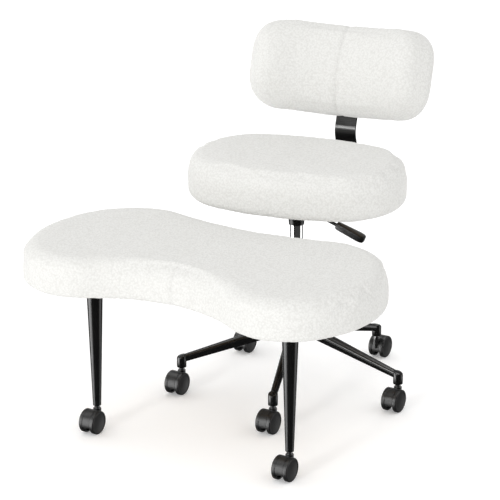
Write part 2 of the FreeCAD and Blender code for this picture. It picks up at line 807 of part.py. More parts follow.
def build_backrest():
    wide, high = "back_board_half_width", "back_board_half_height"
    board = new_body("back_board")
    outline = sketch_on(board, "XZ")
    draw_rectangle(outline, f"-{wide}", f"-{high}", wide, high)
    pad(board, outline, "back_board_thickness")
    bores = sketch_on(board, "XZ")
    for x, y in back_bolt_spots():
        draw_circle(bores, x, y, "bolt_radius + press_gap")
    cut(board, bores, "back_board_thickness - soft_gap")
    lean_back(board)

    bolts = new_body("back_bolts")
    heads = sketch_on(bolts, "XZ", "-bar_thickness - bolt_head")
    shanks = sketch_on(bolts, "XZ", "-bar_thickness")
    for x, y in back_bolt_spots():
        draw_circle(heads, x, y, "bolt_head_radius")
        draw_circle(shanks, x, y, "bolt_radius")
    pad(bolts, heads, "bolt_head")
    pad(bolts, shanks, "bar_thickness + back_board_thickness - 2 * soft_gap")
    lean_back(bolts)

    cushion = new_body("back_cushion")
    section = sketch_on(cushion, "YZ")
    bind(section, "AttachmentOffset.Base.x", "-soft_gap - back_bow_radius")
    draw_back_section(section)
    revolve(cushion, section, sweep="2 * asin(back_half_width / back_bow_radius)")
    depth = size("back_thickness")
    round_edges(cushion, "back_corner_radius",
                lambda edge: edge.BoundBox.ZLength < TOUCHING and abs(edge.Length - depth) < TOUCHING)
    front_and_rear = sorted(cushion.Tip.Shape.Faces, key=lambda face: face.Area)[-2:]
    rims = [edge for face in front_and_rear for edge in face.Edges]
    round_edges(cushion, "back_edge_round", lambda edge: any(edge.isSame(rim) for rim in rims))
    recess = sketch_on(cushion, "XZ")
    draw_rectangle(recess, f"-({wide} + soft_gap)", f"-({high} + soft_gap)",
                   f"{wide} + soft_gap", f"{high} + soft_gap")
    cut(cushion, recess, "back_board_thickness + soft_gap")
    lean_back(cushion)


def draw_back_section(drawing):
    """The backrest seen from its end, out from the bow's axis: straight behind and full in front."""
    rear, front = "back_bow_radius", "back_bow_radius - back_thickness"
    half, fullest = size("back_half_height"), size("back_bow_radius - back_thickness - back_crown")
    corners = [Vector(size(front), half, 0), Vector(size(rear), half, 0),
               Vector(size(rear), -half, 0), Vector(size(front), -half, 0)]
    top, behind, low = (drawing.addGeometry(Part.LineSegment(*ends), False)
                        for ends in zip(corners, corners[1:]))
    belly = drawing.addGeometry(Part.Arc(corners[3], Vector(fullest, 0, 0), corners[0]), False)
    for first, last in (((top, 2), (behind, 1)), ((behind, 2), (low, 1)),
                        ((low, 2), (belly, 2)), ((belly, 1), (top, 1))):
        drawing.addConstraint(Sketcher.Constraint("Coincident", *first, *last))
    for edge, end, x, y in ((top, 1, front, "back_half_height"), (top, 2, rear, "back_half_height"),
                            (low, 1, rear, "-back_half_height"), (low, 2, front, "-back_half_height")):
        set_point(drawing, edge, end, x, y)
    set_measure(drawing, "Radius", belly, text="(back_half_height ^ 2 + back_crown ^ 2) / (2 * back_crown)")


# Stool

def leg_bolt_spots():
    spots = []
    for leg in LEG_SIDES:
        for x in ("-", "+"):
            spots += [(f"{leg} {x} leg_bolt_offset", f"{LEG_Y} {y} leg_bolt_offset") for y in ("-", "+")]
    return spots


def swing_bolt_spots():
    return [("0", "-swing_bolt_near"), ("0", "-swing_bolt_far")]


def end_arc_centre():
    """Where the blunt end's arc is centred: it touches the front and the rear lobe from inside."""
    front = Vector(size("front_lobe_x"), size("front_lobe_y"), 0)
    rear = Vector(size("rear_lobe_x"), size("rear_lobe_y"), 0)
    from_front = size("stool_end_radius - front_lobe_radius")
    from_rear = size("stool_end_radius - rear_lobe_radius")
    apart = (rear - front).Length
    along = (rear - front) / apart
    reach = (apart ** 2 + from_front ** 2 - from_rear ** 2) / (2 * apart)
    inward = Vector(-along.y, along.x, 0)
    return front + along * reach + inward * math.sqrt(from_front ** 2 - reach ** 2)


def draw_stool_outline(drawing, inset):
    """A bean of eight arcs: two lobes each side, blunt ends and a hollow front and rear."""
    front, rear = f"(front_lobe_radius - ({inset}))", f"(rear_lobe_radius - ({inset}))"
    end = f"stool_end_radius - ({inset})"
    front_hollow = f"(front_lobe_x ^ 2 / (2 * front_waist) - {front} + front_waist / 2)"
    rear_hollow = f"(rear_lobe_x ^ 2 / (2 * rear_waist) - {rear} + rear_waist / 2)"
    centre = end_arc_centre()
    draw_arc_loop(drawing, [
        (centre.x, centre.y, end, False, False),
        ("rear_lobe_x", "rear_lobe_y", rear, False, True),
        ("0", f"rear_lobe_y + {rear} - rear_waist + {rear_hollow}", rear_hollow, True, False),
        ("-rear_lobe_x", "rear_lobe_y", rear, False, True),
        (-centre.x, centre.y, end, False, False),
        ("-front_lobe_x", "front_lobe_y", front, False, True),
        ("0", f"front_lobe_y - {front} + front_waist - {front_hollow}", front_hollow, True, False),
        ("front_lobe_x", "front_lobe_y", front, False, True)])


def build_swing_arm():
    bush_outer = "column_radius + running_gap + swing_bush"
    turned("collar_bush", [
        ("column_radius + running_gap", SWING_BOTTOM), (bush_outer, SWING_BOTTOM),
        (bush_outer, SWING_TOP), ("column_radius + running_gap", SWING_TOP)])
    turned("stool_collar", [
        (f"{bush_outer} + press_gap", SWING_BOTTOM), (SWING_RADIUS, SWING_BOTTOM),
        (SWING_RADIUS, SWING_TOP), (f"{bush_outer} + press_gap", SWING_TOP)])

    arm = new_body("swing_arm")
    path = sketch_on(arm, "YZ")
    start = f"({SWING_RADIUS} - swing_wall)"
    climb = "(swing_arm_rise - 2 * swing_bend_radius * (1 - cos(swing_climb))) / sin(swing_climb)"
    draw_path(path, (f"-{start}", ARM_LOW_MIDDLE), "180", [
        ("run", f"swing_low_end - {start}"), ("bend", "swing_bend_radius", "-swing_climb"),
        ("run", climb), ("bend", "swing_bend_radius", "swing_climb"), ("run", "swing_high_run")])
    section = sketch_on(arm, "XZ", start, ARM_LOW_MIDDLE)
    draw_rectangle(section, "-swing_arm_width / 2", "-swing_arm_depth / 2",
                   "swing_arm_width / 2", "swing_arm_depth / 2")
    sweep_along(arm, section, path)
    weld = sketch_on(arm, "XY", SWING_BOTTOM)
    draw_circle(weld, "0", "0", f"{SWING_RADIUS} + weld_gap")
    cut(arm, weld, f"{SWING_TOP} - {SWING_BOTTOM}")
    holes = sketch_on(arm, "XY", "stool_bottom - swing_arm_depth")
    for x, y in swing_bolt_spots():
        draw_circle(holes, x, y, "bolt_radius + hole_gap")
    cut(arm, holes, "swing_arm_depth")


def build_legs():
    plates = new_body("leg_plates")
    outline = sketch_on(plates, "XY", "stool_bottom - leg_plate_thickness")
    half = "leg_plate / 2"
    for x in LEG_SIDES:
        draw_rectangle(outline, f"{x} - {half}", f"{LEG_Y} - {half}", f"{x} + {half}", f"{LEG_Y} + {half}")
    pad(plates, outline, "leg_plate_thickness")
    round_edges(plates, "leg_plate_corner", upright)
    holes = sketch_on(plates, "XY", "stool_bottom - leg_plate_thickness")
    for x, y in leg_bolt_spots():
        draw_circle(holes, x, y, "bolt_radius + hole_gap")
    cut(plates, holes, "leg_plate_thickness")

    top = "stool_bottom - leg_plate_thickness"
    bore, bore_end = "stem_radius + running_gap", "socket_bottom + stem_insert + stem_end_gap"
    for label, x in zip(("stool_leg_left", "stool_leg_right"), LEG_SIDES):
        leg = turned(label, [
            (bore, "socket_bottom"), ("leg_foot_radius", "socket_bottom"), ("leg_top_radius", top),
            ("0", top), ("0", bore_end), (bore, bore_end)])
        bind(leg, "Placement.Base.x", x)
        bind(leg, "Placement.Base.y", LEG_Y)


# Casters

def caster_spots():
    """Where each caster stands and which way it is turned: trailing to the front at 0."""
    spots = []
    for number in range(ARM_COUNT):
        angle = f"(star_turn + {number * STAR_STEP})"
        spots.append((f"star_radius * cos{angle}", f"star_radius * sin{angle}", 180 if number == 1 else 0))
    return spots + [(x, LEG_Y, 0) for x in LEG_SIDES]


def wheel_profile(side):
    """One wheel as (width, radius) corners: a dished disc, a rim and a hub on the axle."""
    face = "caster_width / 2"
    hub_end = "hood_web / 2 + axle_end_gap"
    inner = f"{face} - wheel_disc"
    rim_in = f"{face} - rim_width"
    bore, blind = "axle_radius + running_gap", f"{inner} - axle_end_gap"
    corners = [
        (hub_end, bore), (blind, bore), (blind, "0"), (f"{face} - wheel_dish", "0"),
        (f"{face} - wheel_dish", "dish_radius"), (face, "dish_radius"),
        (face, "wheel_radius - wheel_chamfer"), (f"{face} - wheel_chamfer", "wheel_radius"),
        (rim_in, "wheel_radius"), (rim_in, "wheel_radius - rim_wall"),
        (inner, "wheel_radius - rim_wall"), (inner, "wheel_hub_radius"), (hub_end, "wheel_hub_radius")]
    return [(f"{side}({x})", radius) for x, radius in corners]


def build_caster(number, spot):
    stem = turned(f"caster_stem_{number}", [
        ("0", "stem_bottom"), ("stem_radius", "stem_bottom"), ("stem_radius", "hood_boss_top"),
        ("stem_collar_radius", "hood_boss_top"), ("stem_collar_radius", "hood_boss_top + stem_collar"),
        ("stem_radius", "hood_boss_top + stem_collar"), ("stem_radius", "socket_bottom + stem_insert"),
        ("0", "socket_bottom + stem_insert")])

    hood = new_body(f"caster_hood_{number}")
    web, skirt = "hood_web / 2", "(caster_width / 2 - rim_width - hood_side_gap)"
    inside = "wheel_radius - hood_wall"
    profile = sketch_on(hood, "XZ", "caster_trail", "wheel_radius")
    draw_polygon(profile, [
        (f"-{web}", "0"), (web, "0"), (web, inside), (skirt, inside), (skirt, "wheel_radius"),
        (f"-{skirt}", "wheel_radius"), (f"-{skirt}", inside), (f"-{web}", inside)])
    revolve(hood, profile, "H_Axis", sweep="hood_sweep")
    axle = sketch_on(hood, "YZ")
    draw_circle(axle, "-caster_trail", "wheel_radius", "axle_radius")
    pad(hood, axle, "caster_width - 2 * wheel_disc - 4 * axle_end_gap", both_ways=True)
    boss = sketch_on(hood, "XY", "hood_boss_bottom")
    draw_circle(boss, "0", "0", "hood_boss_radius")
    pad(hood, boss, "hood_boss_top - hood_boss_bottom")
    bore = sketch_on(hood, "XY", "stem_bottom")
    draw_circle(bore, "0", "0", "stem_radius + press_gap")
    cut(hood, bore, "hood_boss_top - stem_bottom")

    wheels = new_body(f"caster_wheels_{number}")
    profile = sketch_on(wheels, "XZ", "caster_trail", "wheel_radius")
    for side in ("-", ""):
        draw_polygon(profile, wheel_profile(side))
    revolve(wheels, profile, "H_Axis")

    x, y, heading = spot
    for body in (stem, hood, wheels):
        body.Placement = Placement(Vector(), Rotation(Vector(0, 0, 1), heading))
        bind(body, "Placement.Base.x", x)
        bind(body, "Placement.Base.y", y)


# Assembly and export

def build_all():
    build_hub()
    for number in range(ARM_COUNT):
        build_arm(number)
    build_lift()
    for body in pieces:
        if body.Label in ("pressure_tube", "release_pin"):
            turn_with_seat(body)
    build_mechanism()
    seat_holes = mechanism_bolt_spots() + bar_bolt_spots()
    seat_top = "seat_bottom + bolt_bite"
    seat_pieces = [
        build_bolts("mechanism_bolts", [(mechanism_bolt_spots(), PLATE_BOTTOM)], seat_top),
        build_bolts("bar_bolts", [(bar_bolt_spots(), f"{PLATE_BOTTOM} - bar_thickness")], seat_top),
        build_board("seat_board", draw_seat_outline, "board_inset", "seat_bottom", seat_holes),
        build_cushion("seat_cushion", draw_seat_outline, "board_inset", "seat")]
    for body in seat_pieces:
        turn_with_seat(body)
    build_lever()
    build_back_bar()
    build_backrest()
    build_swing_arm()
    stool_holes = leg_bolt_spots() + swing_bolt_spots()
    build_board("stool_board", draw_stool_outline, "stool_board_inset", "stool_bottom", stool_holes)
    build_cushion("stool_cushion", draw_stool_outline, "stool_board_inset", "stool")
    build_legs()
    build_bolts("stool_bolts", [(leg_bolt_spots(), "stool_bottom - leg_plate_thickness"),
                                (swing_bolt_spots(), "stool_bottom - swing_arm_depth")],
                "stool_bottom + bolt_bite")
    for number, spot in enumerate(caster_spots(), start=1):
        build_caster(number, spot)


def check_and_export():
    doc.recompute()
    for item in doc.Objects:
        if "Invalid" in item.State or "Error" in item.State:
            raise RuntimeError(f"{item.Label} did not build: {item.State}")
    os.makedirs("parts", exist_ok=True)
    for body in pieces:
        if body.Shape.isNull() or not body.Shape.isValid() or body.Shape.Volume <= 0:
            raise RuntimeError(f"{body.Label} is not a sound solid")
        body.Shape.exportStep(f"parts/{body.Label}.step")


build_all()
check_and_export()
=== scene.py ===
"""Looks of the cross-legged office chair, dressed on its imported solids. Metres, Z up."""

import json
import math

import bmesh
import bpy
from mathutils import Matrix, Vector, kdtree, noise
from mathutils.bvhtree import BVHTree


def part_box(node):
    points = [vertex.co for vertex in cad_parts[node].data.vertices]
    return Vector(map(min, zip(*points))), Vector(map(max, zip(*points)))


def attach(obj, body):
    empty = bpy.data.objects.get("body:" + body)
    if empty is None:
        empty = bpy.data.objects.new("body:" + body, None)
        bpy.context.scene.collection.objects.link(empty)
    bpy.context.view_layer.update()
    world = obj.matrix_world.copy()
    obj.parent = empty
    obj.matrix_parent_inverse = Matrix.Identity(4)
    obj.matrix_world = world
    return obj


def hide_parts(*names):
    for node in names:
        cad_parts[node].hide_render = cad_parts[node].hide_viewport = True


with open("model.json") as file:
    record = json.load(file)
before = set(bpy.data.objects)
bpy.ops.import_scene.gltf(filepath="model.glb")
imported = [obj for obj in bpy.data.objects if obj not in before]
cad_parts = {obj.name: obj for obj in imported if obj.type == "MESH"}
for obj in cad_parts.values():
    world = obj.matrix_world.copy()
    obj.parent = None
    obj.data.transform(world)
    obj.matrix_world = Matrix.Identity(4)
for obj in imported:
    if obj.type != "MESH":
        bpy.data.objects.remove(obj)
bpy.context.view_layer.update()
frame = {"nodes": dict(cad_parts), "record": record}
nodes = frame["nodes"]


# Shader node helpers

def feed(tree, value, socket):
    """Link another node's output to a socket, or set a plain value on it."""
    if isinstance(value, bpy.types.NodeSocket):
        tree.links.new(value, socket)
    else:
        socket.default_value = value


def add_node(tree, kind, **sockets):
    """A shader node whose named input sockets take the given values or links."""
    node = tree.nodes.new("ShaderNode" + kind)
    for name, value in sockets.items():
        feed(tree, value, node.inputs[name.replace("_", " ")])
    return node


def calculate(tree, operation, *values, clamp=False):
    """The result of a sum on numbers."""
    node = tree.nodes.new("ShaderNodeMath")
    node.operation = operation
    node.use_clamp = clamp
    for value, socket in zip(values, node.inputs):
        feed(tree, value, socket)
    return node.outputs[0]


def calculate_vector(tree, operation, *values, **named):
    """The outputs of a sum on vectors."""
    node = tree.nodes.new("ShaderNodeVectorMath")
    node.operation = operation
    for value, socket in zip(values, node.inputs):
        feed(tree, value, socket)
    for name, value in named.items():
        feed(tree, value, node.inputs[name])
    return node.outputs


def split_vector(tree, vector):
    """The X, Y and Z of a vector."""
    return add_node(tree, "SeparateXYZ", Vector=vector).outputs


def own_place(tree):
    """A point's place in the piece's own axes."""
    return tree.nodes.new("ShaderNodeTexCoord").outputs["Object"]


def blend_colours(tree, share, first, second):
    """A mix of two colours, all of the second where the share is one."""
    node = tree.nodes.new("ShaderNodeMix")
    node.data_type = "RGBA"
    for name, value in (("Factor_Float", share), ("A_Color", first), ("B_Color", second)):
        feed(tree, value, next(socket for socket in node.inputs if socket.identifier == name))
    return next(socket for socket in node.outputs if socket.identifier == "Result_Color")


def spread(tree, value, low, high, new_low, new_high):
    """A value stretched from one range to another and held inside it."""
    node = add_node(tree, "MapRange", Value=value)
    for name, number in (("From Min", low), ("From Max", high), ("To Min", new_low), ("To Max", new_high)):
        node.inputs[name].default_value = number
    return node.outputs["Result"]


def shader_group(name, inputs, outputs):
    """An empty node group with float inputs and outputs, and its two end nodes."""
    tree = bpy.data.node_groups.new(name, "ShaderNodeTree")
    for label, value in inputs.items():
        socket = tree.interface.new_socket(label, in_out="INPUT", socket_type="NodeSocketFloat")
        socket.default_value = value
    for label in outputs:
        tree.interface.new_socket(label, in_out="OUTPUT", socket_type="NodeSocketFloat")
    return tree, tree.nodes.new("NodeGroupInput"), tree.nodes.new("NodeGroupOutput")


def use_group(tree, group, **values):
    """The outputs of a shared effect, with its inputs set to the given values."""
    node = tree.nodes.new("ShaderNodeGroup")
    node.node_tree = group
    for name, value in values.items():
        node.inputs[name.replace("_", " ")].default_value = value
    return node.outputs


def grey(level):
    return (level, level, level, 1.0)


# Surface effects shared by the finishes

LOOP_SIZE, LOOP_CURL, CURL_RATE = 0.0045, 0.0022, 0.55
LOOP_LAYERS = ((1.0, 0.65), (2.1, 0.35))
HOLLOW_HEIGHTS = (0.62, 0.32)
PEBBLE_SIZE = 0.0012
DUST_REACH = 0.09


def make_loop_pile():
    """Curled loops of the woolly cloth: how high, and how deep in the hollows, a point lies; the hollow share
    also sets the painted shade between the loops.
    """
    tree, given, result = shader_group(
        "loop_pile", {"Loop Size": LOOP_SIZE, "Curl": LOOP_CURL}, ("Height", "Hollow Shade", "Mottle"))
    place = own_place(tree)
    rate = calculate(tree, "DIVIDE", 1.0, given.outputs["Loop Size"])
    curl_scale = calculate(tree, "MULTIPLY", rate, CURL_RATE)
    drift = add_node(tree, "TexNoise", Vector=place, Detail=2.0, Scale=curl_scale)
    centred = calculate_vector(tree, "SUBTRACT", drift.outputs["Color"], (0.5, 0.5, 0.5))[0]
    pushed = calculate_vector(tree, "SCALE", centred, Scale=given.outputs["Curl"])[0]
    curled = calculate_vector(tree, "ADD", place, pushed)[0]
    heights = []
    for fineness, weight in LOOP_LAYERS:
        scale = calculate(tree, "MULTIPLY", rate, fineness)
        cells = add_node(tree, "TexVoronoi", Vector=curled, Randomness=1.0, Scale=scale)
        bump = calculate(tree, "SUBTRACT", 1.0, cells.outputs["Distance"], clamp=True)
        heights.append(calculate(tree, "MULTIPLY", bump, weight))
    height = calculate(tree, "ADD", *heights)
    tree.links.new(height, result.inputs["Height"])
    # The hollow share also carries the painted shade between the loops.
    tree.links.new(spread(tree, height, *HOLLOW_HEIGHTS, 0.0, 1.0), result.inputs["Hollow Shade"])
    patches = add_node(tree, "TexNoise", Vector=place, Scale=14.0, Detail=3.0)
    tree.links.new(patches.outputs["Fac"], result.inputs["Mottle"])
    return tree


def make_fine_skin():
    """The fine pebble of a sprayed or moulded skin and the slow drift of its gloss."""
    tree, given, result = shader_group("fine_skin", {"Pebble Size": PEBBLE_SIZE}, ("Height", "Drift"))
    place = own_place(tree)
    rate = calculate(tree, "DIVIDE", 1.0, given.outputs["Pebble Size"])
    pebble = add_node(tree, "TexNoise", Vector=place, Detail=2.0, Scale=rate)
    tree.links.new(pebble.outputs["Fac"], result.inputs["Height"])
    drift = add_node(tree, "TexNoise", Vector=place, Scale=22.0, Detail=4.0)
    tree.links.new(drift.outputs["Fac"], result.inputs["Drift"])
    return tree


def make_floor_dust():
    """Dust that thins out from the floor upward and lies thickest on faces that look up."""
    tree, given, result = shader_group("floor_dust", {"Reach": DUST_REACH}, ("Mask",))
    surface = tree.nodes.new("ShaderNodeNewGeometry")
    rise = split_vector(tree, surface.outputs["Position"])["Z"]
    facing = split_vector(tree, surface.outputs["Normal"])["Z"]
    near = calculate(tree, "DIVIDE", rise, given.outputs["Reach"])
    low = calculate(tree, "SUBTRACT", 1.0, near, clamp=True)
    up = spread(tree, facing, 0.2, 1.0, 0.25, 1.0)
    specks = add_node(tree, "TexNoise", Vector=surface.outputs["Position"], Scale=420.0, Detail=3.0)
    patchy = spread(tree, specks.outputs["Fac"], 0.45, 0.75, 0.0, 1.0)
    mask = calculate(tree, "MULTIPLY", calculate(tree, "MULTIPLY", low, up), patchy)
    tree.links.new(mask, result.inputs["Mask"])
    return tree


LOOP_PILE = make_loop_pile()
FINE_SKIN = make_fine_skin()
FLOOR_DUST = make_floor_dust()


# Finishes

LOOP_COLOURS = ((0.665, 0.663, 0.642, 1), (0.69, 0.688, 0.670, 1))
# Painted shade: the darker colour laid in the hollows between the loops.
HOLLOW_SHADE_COLOUR = (0.61, 0.606, 0.585, 1)
LOOP_DEPTH = 0.0022
DUST_COLOUR, DUST_COVER = (0.32, 0.32, 0.32, 1), 0.12
WOOD_COLOURS = ((0.60, 0.45, 0.28, 1), (0.42, 0.28, 0.15, 1))
LAYER_COLOUR, LAYER_PITCH = (0.30, 0.19, 0.10, 1), 0.004
GRAIN_DEPTH = 0.0004
HALF_RELIEF = 0.5


def new_finish(name, colour, roughness, **fixed):
    """A material with its principled shader; fixed values go straight on the shader's sockets."""
    material = bpy.data.materials.new(name)
    material.use_nodes = True
    tree = material.node_tree
    shader = tree.nodes["Principled BSDF"]
    shader.inputs["Base Color"].default_value = colour
    shader.inputs["Roughness"].default_value = roughness
    for socket, value in fixed.items():
        shader.inputs[socket.replace("_", " ")].default_value = value
    return material, tree, shader


def raise_surface(tree, shader, height, depth):
    """Fine relief of the given depth in the finish."""
    bump = add_node(tree, "Bump", Height=height, Distance=depth, Strength=HALF_RELIEF)
    tree.links.new(bump.outputs["Normal"], shader.inputs["Normal"])


def make_boucle():
    """Woolly cloth: pale loops, with painted shade making the hollows between them slightly darker."""
    material, tree, shader = new_finish(
        "ivory_boucle", grey(0.66), 0.95, Sheen_Weight=0.15, Sheen_Roughness=0.6, Specular_IOR_Level=0.1)
    pile = use_group(tree, LOOP_PILE)
    loops = blend_colours(tree, pile["Mottle"], *LOOP_COLOURS)
    # Painted shade: the hollows between the loops take the darker hollow colour.
    colour = blend_colours(tree, pile["Hollow Shade"], loops, HOLLOW_SHADE_COLOUR)
    tree.links.new(colour, shader.inputs["Base Color"])
    tree.links.new(spread(tree, pile["Hollow Shade"], 0, 1, 0.88, 1.0), shader.inputs["Roughness"])
    raise_surface(tree, shader, pile["Height"], LOOP_DEPTH)
    return material


def make_skin_finish(name, colour, drifted, roughness, pebble, depth, **fixed):
    """A dark sprayed or moulded skin: slow colour and gloss drift, fine pebble, dust near the floor."""
    material, tree, shader = new_finish(name, colour, roughness[0], **fixed)
    skin = use_group(tree, FINE_SKIN, Pebble_Size=pebble)
    dust = use_group(tree, FLOOR_DUST)
    tint = blend_colours(tree, skin["Drift"], colour, drifted)
    settled = calculate(tree, "MULTIPLY", dust["Mask"], DUST_COVER)
    tree.links.new(blend_colours(tree, settled, tint, DUST_COLOUR), shader.inputs["Base Color"])
    gloss = spread(tree, skin["Drift"], 0.3, 0.7, *roughness)
    tree.links.new(calculate(tree, "ADD", gloss, settled, clamp=True), shader.inputs["Roughness"])
    raise_surface(tree, shader, skin["Height"], depth)
    return material


def make_chrome():
    """Bright plating with a slow drift of its gloss."""
    material, tree, shader = new_finish("polished_chrome", grey(0.72), 0.08, Metallic=1.0)
    skin = use_group(tree, FINE_SKIN, Pebble_Size=0.004)
    tree.links.new(spread(tree, skin["Drift"], 0.35, 0.7, 0.05, 0.16), shader.inputs["Roughness"])
    tree.links.new(blend_colours(tree, skin["Height"], grey(0.66), grey(0.78)), shader.inputs["Base Color"])
    return material


def make_plywood():
    """Birch board: long grain across its faces and thin layers round its edge."""
    material, tree, shader = new_finish("birch_plywood", (0.52, 0.37, 0.22, 1), 0.6)
    place = own_place(tree)
    stretch = add_node(tree, "Mapping", Vector=place, Scale=(4.0, 60.0, 60.0))
    grain = add_node(tree, "TexNoise", Vector=stretch.outputs[0], Scale=3.0, Detail=5.0)
    turns = calculate(tree, "MULTIPLY", split_vector(tree, place)["Z"], 2 * math.pi / LAYER_PITCH)
    layers = calculate(tree, "SINE", turns)
    wood = blend_colours(tree, grain.outputs["Fac"], *WOOD_COLOURS)
    share = spread(tree, layers, -1, 1, 0.0, 0.25)
    tree.links.new(blend_colours(tree, share, wood, LAYER_COLOUR), shader.inputs["Base Color"])
    raise_surface(tree, shader, grain.outputs["Fac"], GRAIN_DEPTH)
    return material


FINISHES = {
    "boucle": make_boucle(),
    "powder_coat": make_skin_finish(
        "black_powder_coat", grey(0.0025), grey(0.004), (0.19, 0.27), 0.0010, 0.00015),
    "caster_plastic": make_skin_finish(
        "black_moulded_plastic", grey(0.004), grey(0.007), (0.34, 0.44), 0.0016, 0.0002),
    "dark_steel": make_skin_finish(
        "oiled_steel", grey(0.16), grey(0.24), (0.26, 0.40), 0.0020, 0.0001, Metallic=1.0),
    "bush_plastic": make_skin_finish(
        "grey_nylon", grey(0.035), grey(0.050), (0.40, 0.55), 0.0015, 0.0002),
    "chrome": make_chrome(),
    "plywood": make_plywood(),
}


def finish_solids():
    """Every solid that stays in view takes the finish of its slot in the record."""
    for piece in frame["record"]["subparts"]:
        solid = nodes[piece["node"]]
        solid.data.materials.clear()
        solid.data.materials.append(FINISHES[piece["material_slot"]])


def apply_modifiers(piece):
    """Keep the shape that a piece's modifiers give it, and drop them."""
    bpy.context.view_layer.update()
    result = bpy.data.meshes.new_from_object(piece.evaluated_get(bpy.context.evaluated_depsgraph_get()))
    piece.modifiers.clear()
    piece.data = result


# Pieces with eased edges

SHARP_ANGLE, FLAT_ANGLE = math.radians(28), math.radians(0.5)
JOIN_DISTANCE = 0.00005
WHEEL_EDGE, EDGE_STEPS = 0.0014, 3
STAR_ARMS, CASTERS = 5, 7
STAR_TURN, STAR_STEP = math.radians(1.2), math.radians(72)
ARM_ROOT, ARM_TIP, ARM_RINGS = 0.0216, 0.251, 8
# Each section of an arm: its middle's height, the width of its flats, its depth, and half its width.
ROOT_SECTION = (0.141, 0.010, 0.029, 0.013)
TIP_SECTION = (0.0745, 0.008, 0.017, 0.0087)
RIDGE_LIFT, RIDGE_ROUND, ARM_ROUND = 0.14, 0.0050, 0.0030
CORNER_STEPS, TURN_STEPS = 5, 40
HUB_RADIUS, SOCKET_HOLD = 0.027, 0.0095
STEM_BORE, BORE_END = 0.00555, 0.078
SOCKET_RADIUS, SOCKET_FOOT, SOCKET_TOP, PIN_POINT = 0.0105, 0.056, 0.083, 0.0002
# The socket's wall as radius and height, from the closed end of its bore, round the foot, to the top.
SOCKET_PROFILE = (
    (PIN_POINT, BORE_END), (STEM_BORE, BORE_END), (STEM_BORE, SOCKET_FOOT),
    (0.0095, SOCKET_FOOT), (0.0102, 0.0563), (SOCKET_RADIUS, 0.057),
    (SOCKET_RADIUS, 0.0790), (0.0101, 0.0808), (0.0088, 0.0823),
    (0.0068, SOCKET_TOP), (PIN_POINT, SOCKET_TOP))
# The grip's edge as reach along the lever and half its width there.
GRIP_OUTLINE = ((0.098, 0.005), (0.104, 0.0085), (0.152, 0.0125), (0.161, 0.0115), (0.167, 0.007))
GRIP_HALF_DEPTH, GRIP_EDGE = 0.0075, 0.003
LEVER_HEIGHT, LEVER_DROOP = 0.421, math.radians(22)
SEAT_TURN = math.radians(9.6)


def link_piece(name, mesh, node, body):
    """A new piece that stands for a node, with that node's finish."""
    piece = bpy.data.objects.new(name, mesh)
    bpy.context.scene.collection.objects.link(piece)
    finish = next(part["material_slot"] for part in frame["record"]["subparts"] if part["node"] == node)
    mesh.materials.clear()
    mesh.materials.append(FINISHES[finish])
    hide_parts(node)
    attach(piece, body)
    return piece


def smooth(mesh):
    """Shade a mesh smooth, but not across its sharp edges."""
    for face in mesh.polygons:
        face.use_smooth = True
    mesh.set_sharp_from_angle(angle=SHARP_ANGLE)


def roll_edges(piece, width):
    """Roll the sharp edges over, so that they catch the light as a sprayed or moulded edge does."""
    modifier = piece.modifiers.new("rolled_edges", "BEVEL")
    modifier.width = width
    modifier.segments = EDGE_STEPS
    modifier.limit_method = "ANGLE"
    modifier.angle_limit = SHARP_ANGLE
    apply_modifiers(piece)
    smooth(piece.data)


def round_corners(corners, radii):
    """A closed outline with each corner turned by a curve that starts its radius away from it."""
    outline = []
    for place, radius in enumerate(radii):
        before, corner, after = (Vector(corners[(place + step) % len(corners)]) for step in (-1, 0, 1))
        first = corner + (before - corner).normalized() * radius
        last = corner + (after - corner).normalized() * radius
        for step in range(CORNER_STEPS + 1):
            share = step / CORNER_STEPS
            outline.append(first.lerp(corner, share).lerp(corner.lerp(last, share), share))
    return outline


def arm_outline(middle, flat, depth, half_width):
    """An arm's section, across and up: flat above and below, with a ridge along each side."""
    ridge = middle + RIDGE_LIFT * depth
    low, top, half = middle - depth / 2, middle + depth / 2, flat / 2
    return round_corners(
        [(-half, low), (half, low), (half_width, ridge), (half, top), (-half, top), (-half_width, ridge)],
        [ARM_ROUND, ARM_ROUND, RIDGE_ROUND, ARM_ROUND, ARM_ROUND, RIDGE_ROUND])


def cover_rings(form, rings):
    """Faces between closed rings of points, one ring to the next, and over both ends."""
    for near, far in zip(rings, rings[1:]):
        count = len(near)
        for place in range(count):
            after = (place + 1) % count
            form.faces.new((near[place], near[after], far[after], far[place]))
    form.faces.new(rings[0])
    form.faces.new(rings[-1])


def turn_socket(form):
    """The caster socket at an arm's tip, its closed end sloping as the arm does."""
    slope = (TIP_SECTION[0] - ROOT_SECTION[0]) / (ARM_TIP - ARM_ROOT)
    rings = []
    for radius, height in SOCKET_PROFILE:
        tilt = slope if height > BORE_END else 0
        ring = []
        for step in range(TURN_STEPS):
            angle = 2 * math.pi * step / TURN_STEPS
            along, across = radius * math.cos(angle), radius * math.sin(angle)
            ring.append(form.verts.new((ARM_TIP + along, across, height + tilt * along)))
        rings.append(ring)
    cover_rings(form, rings)


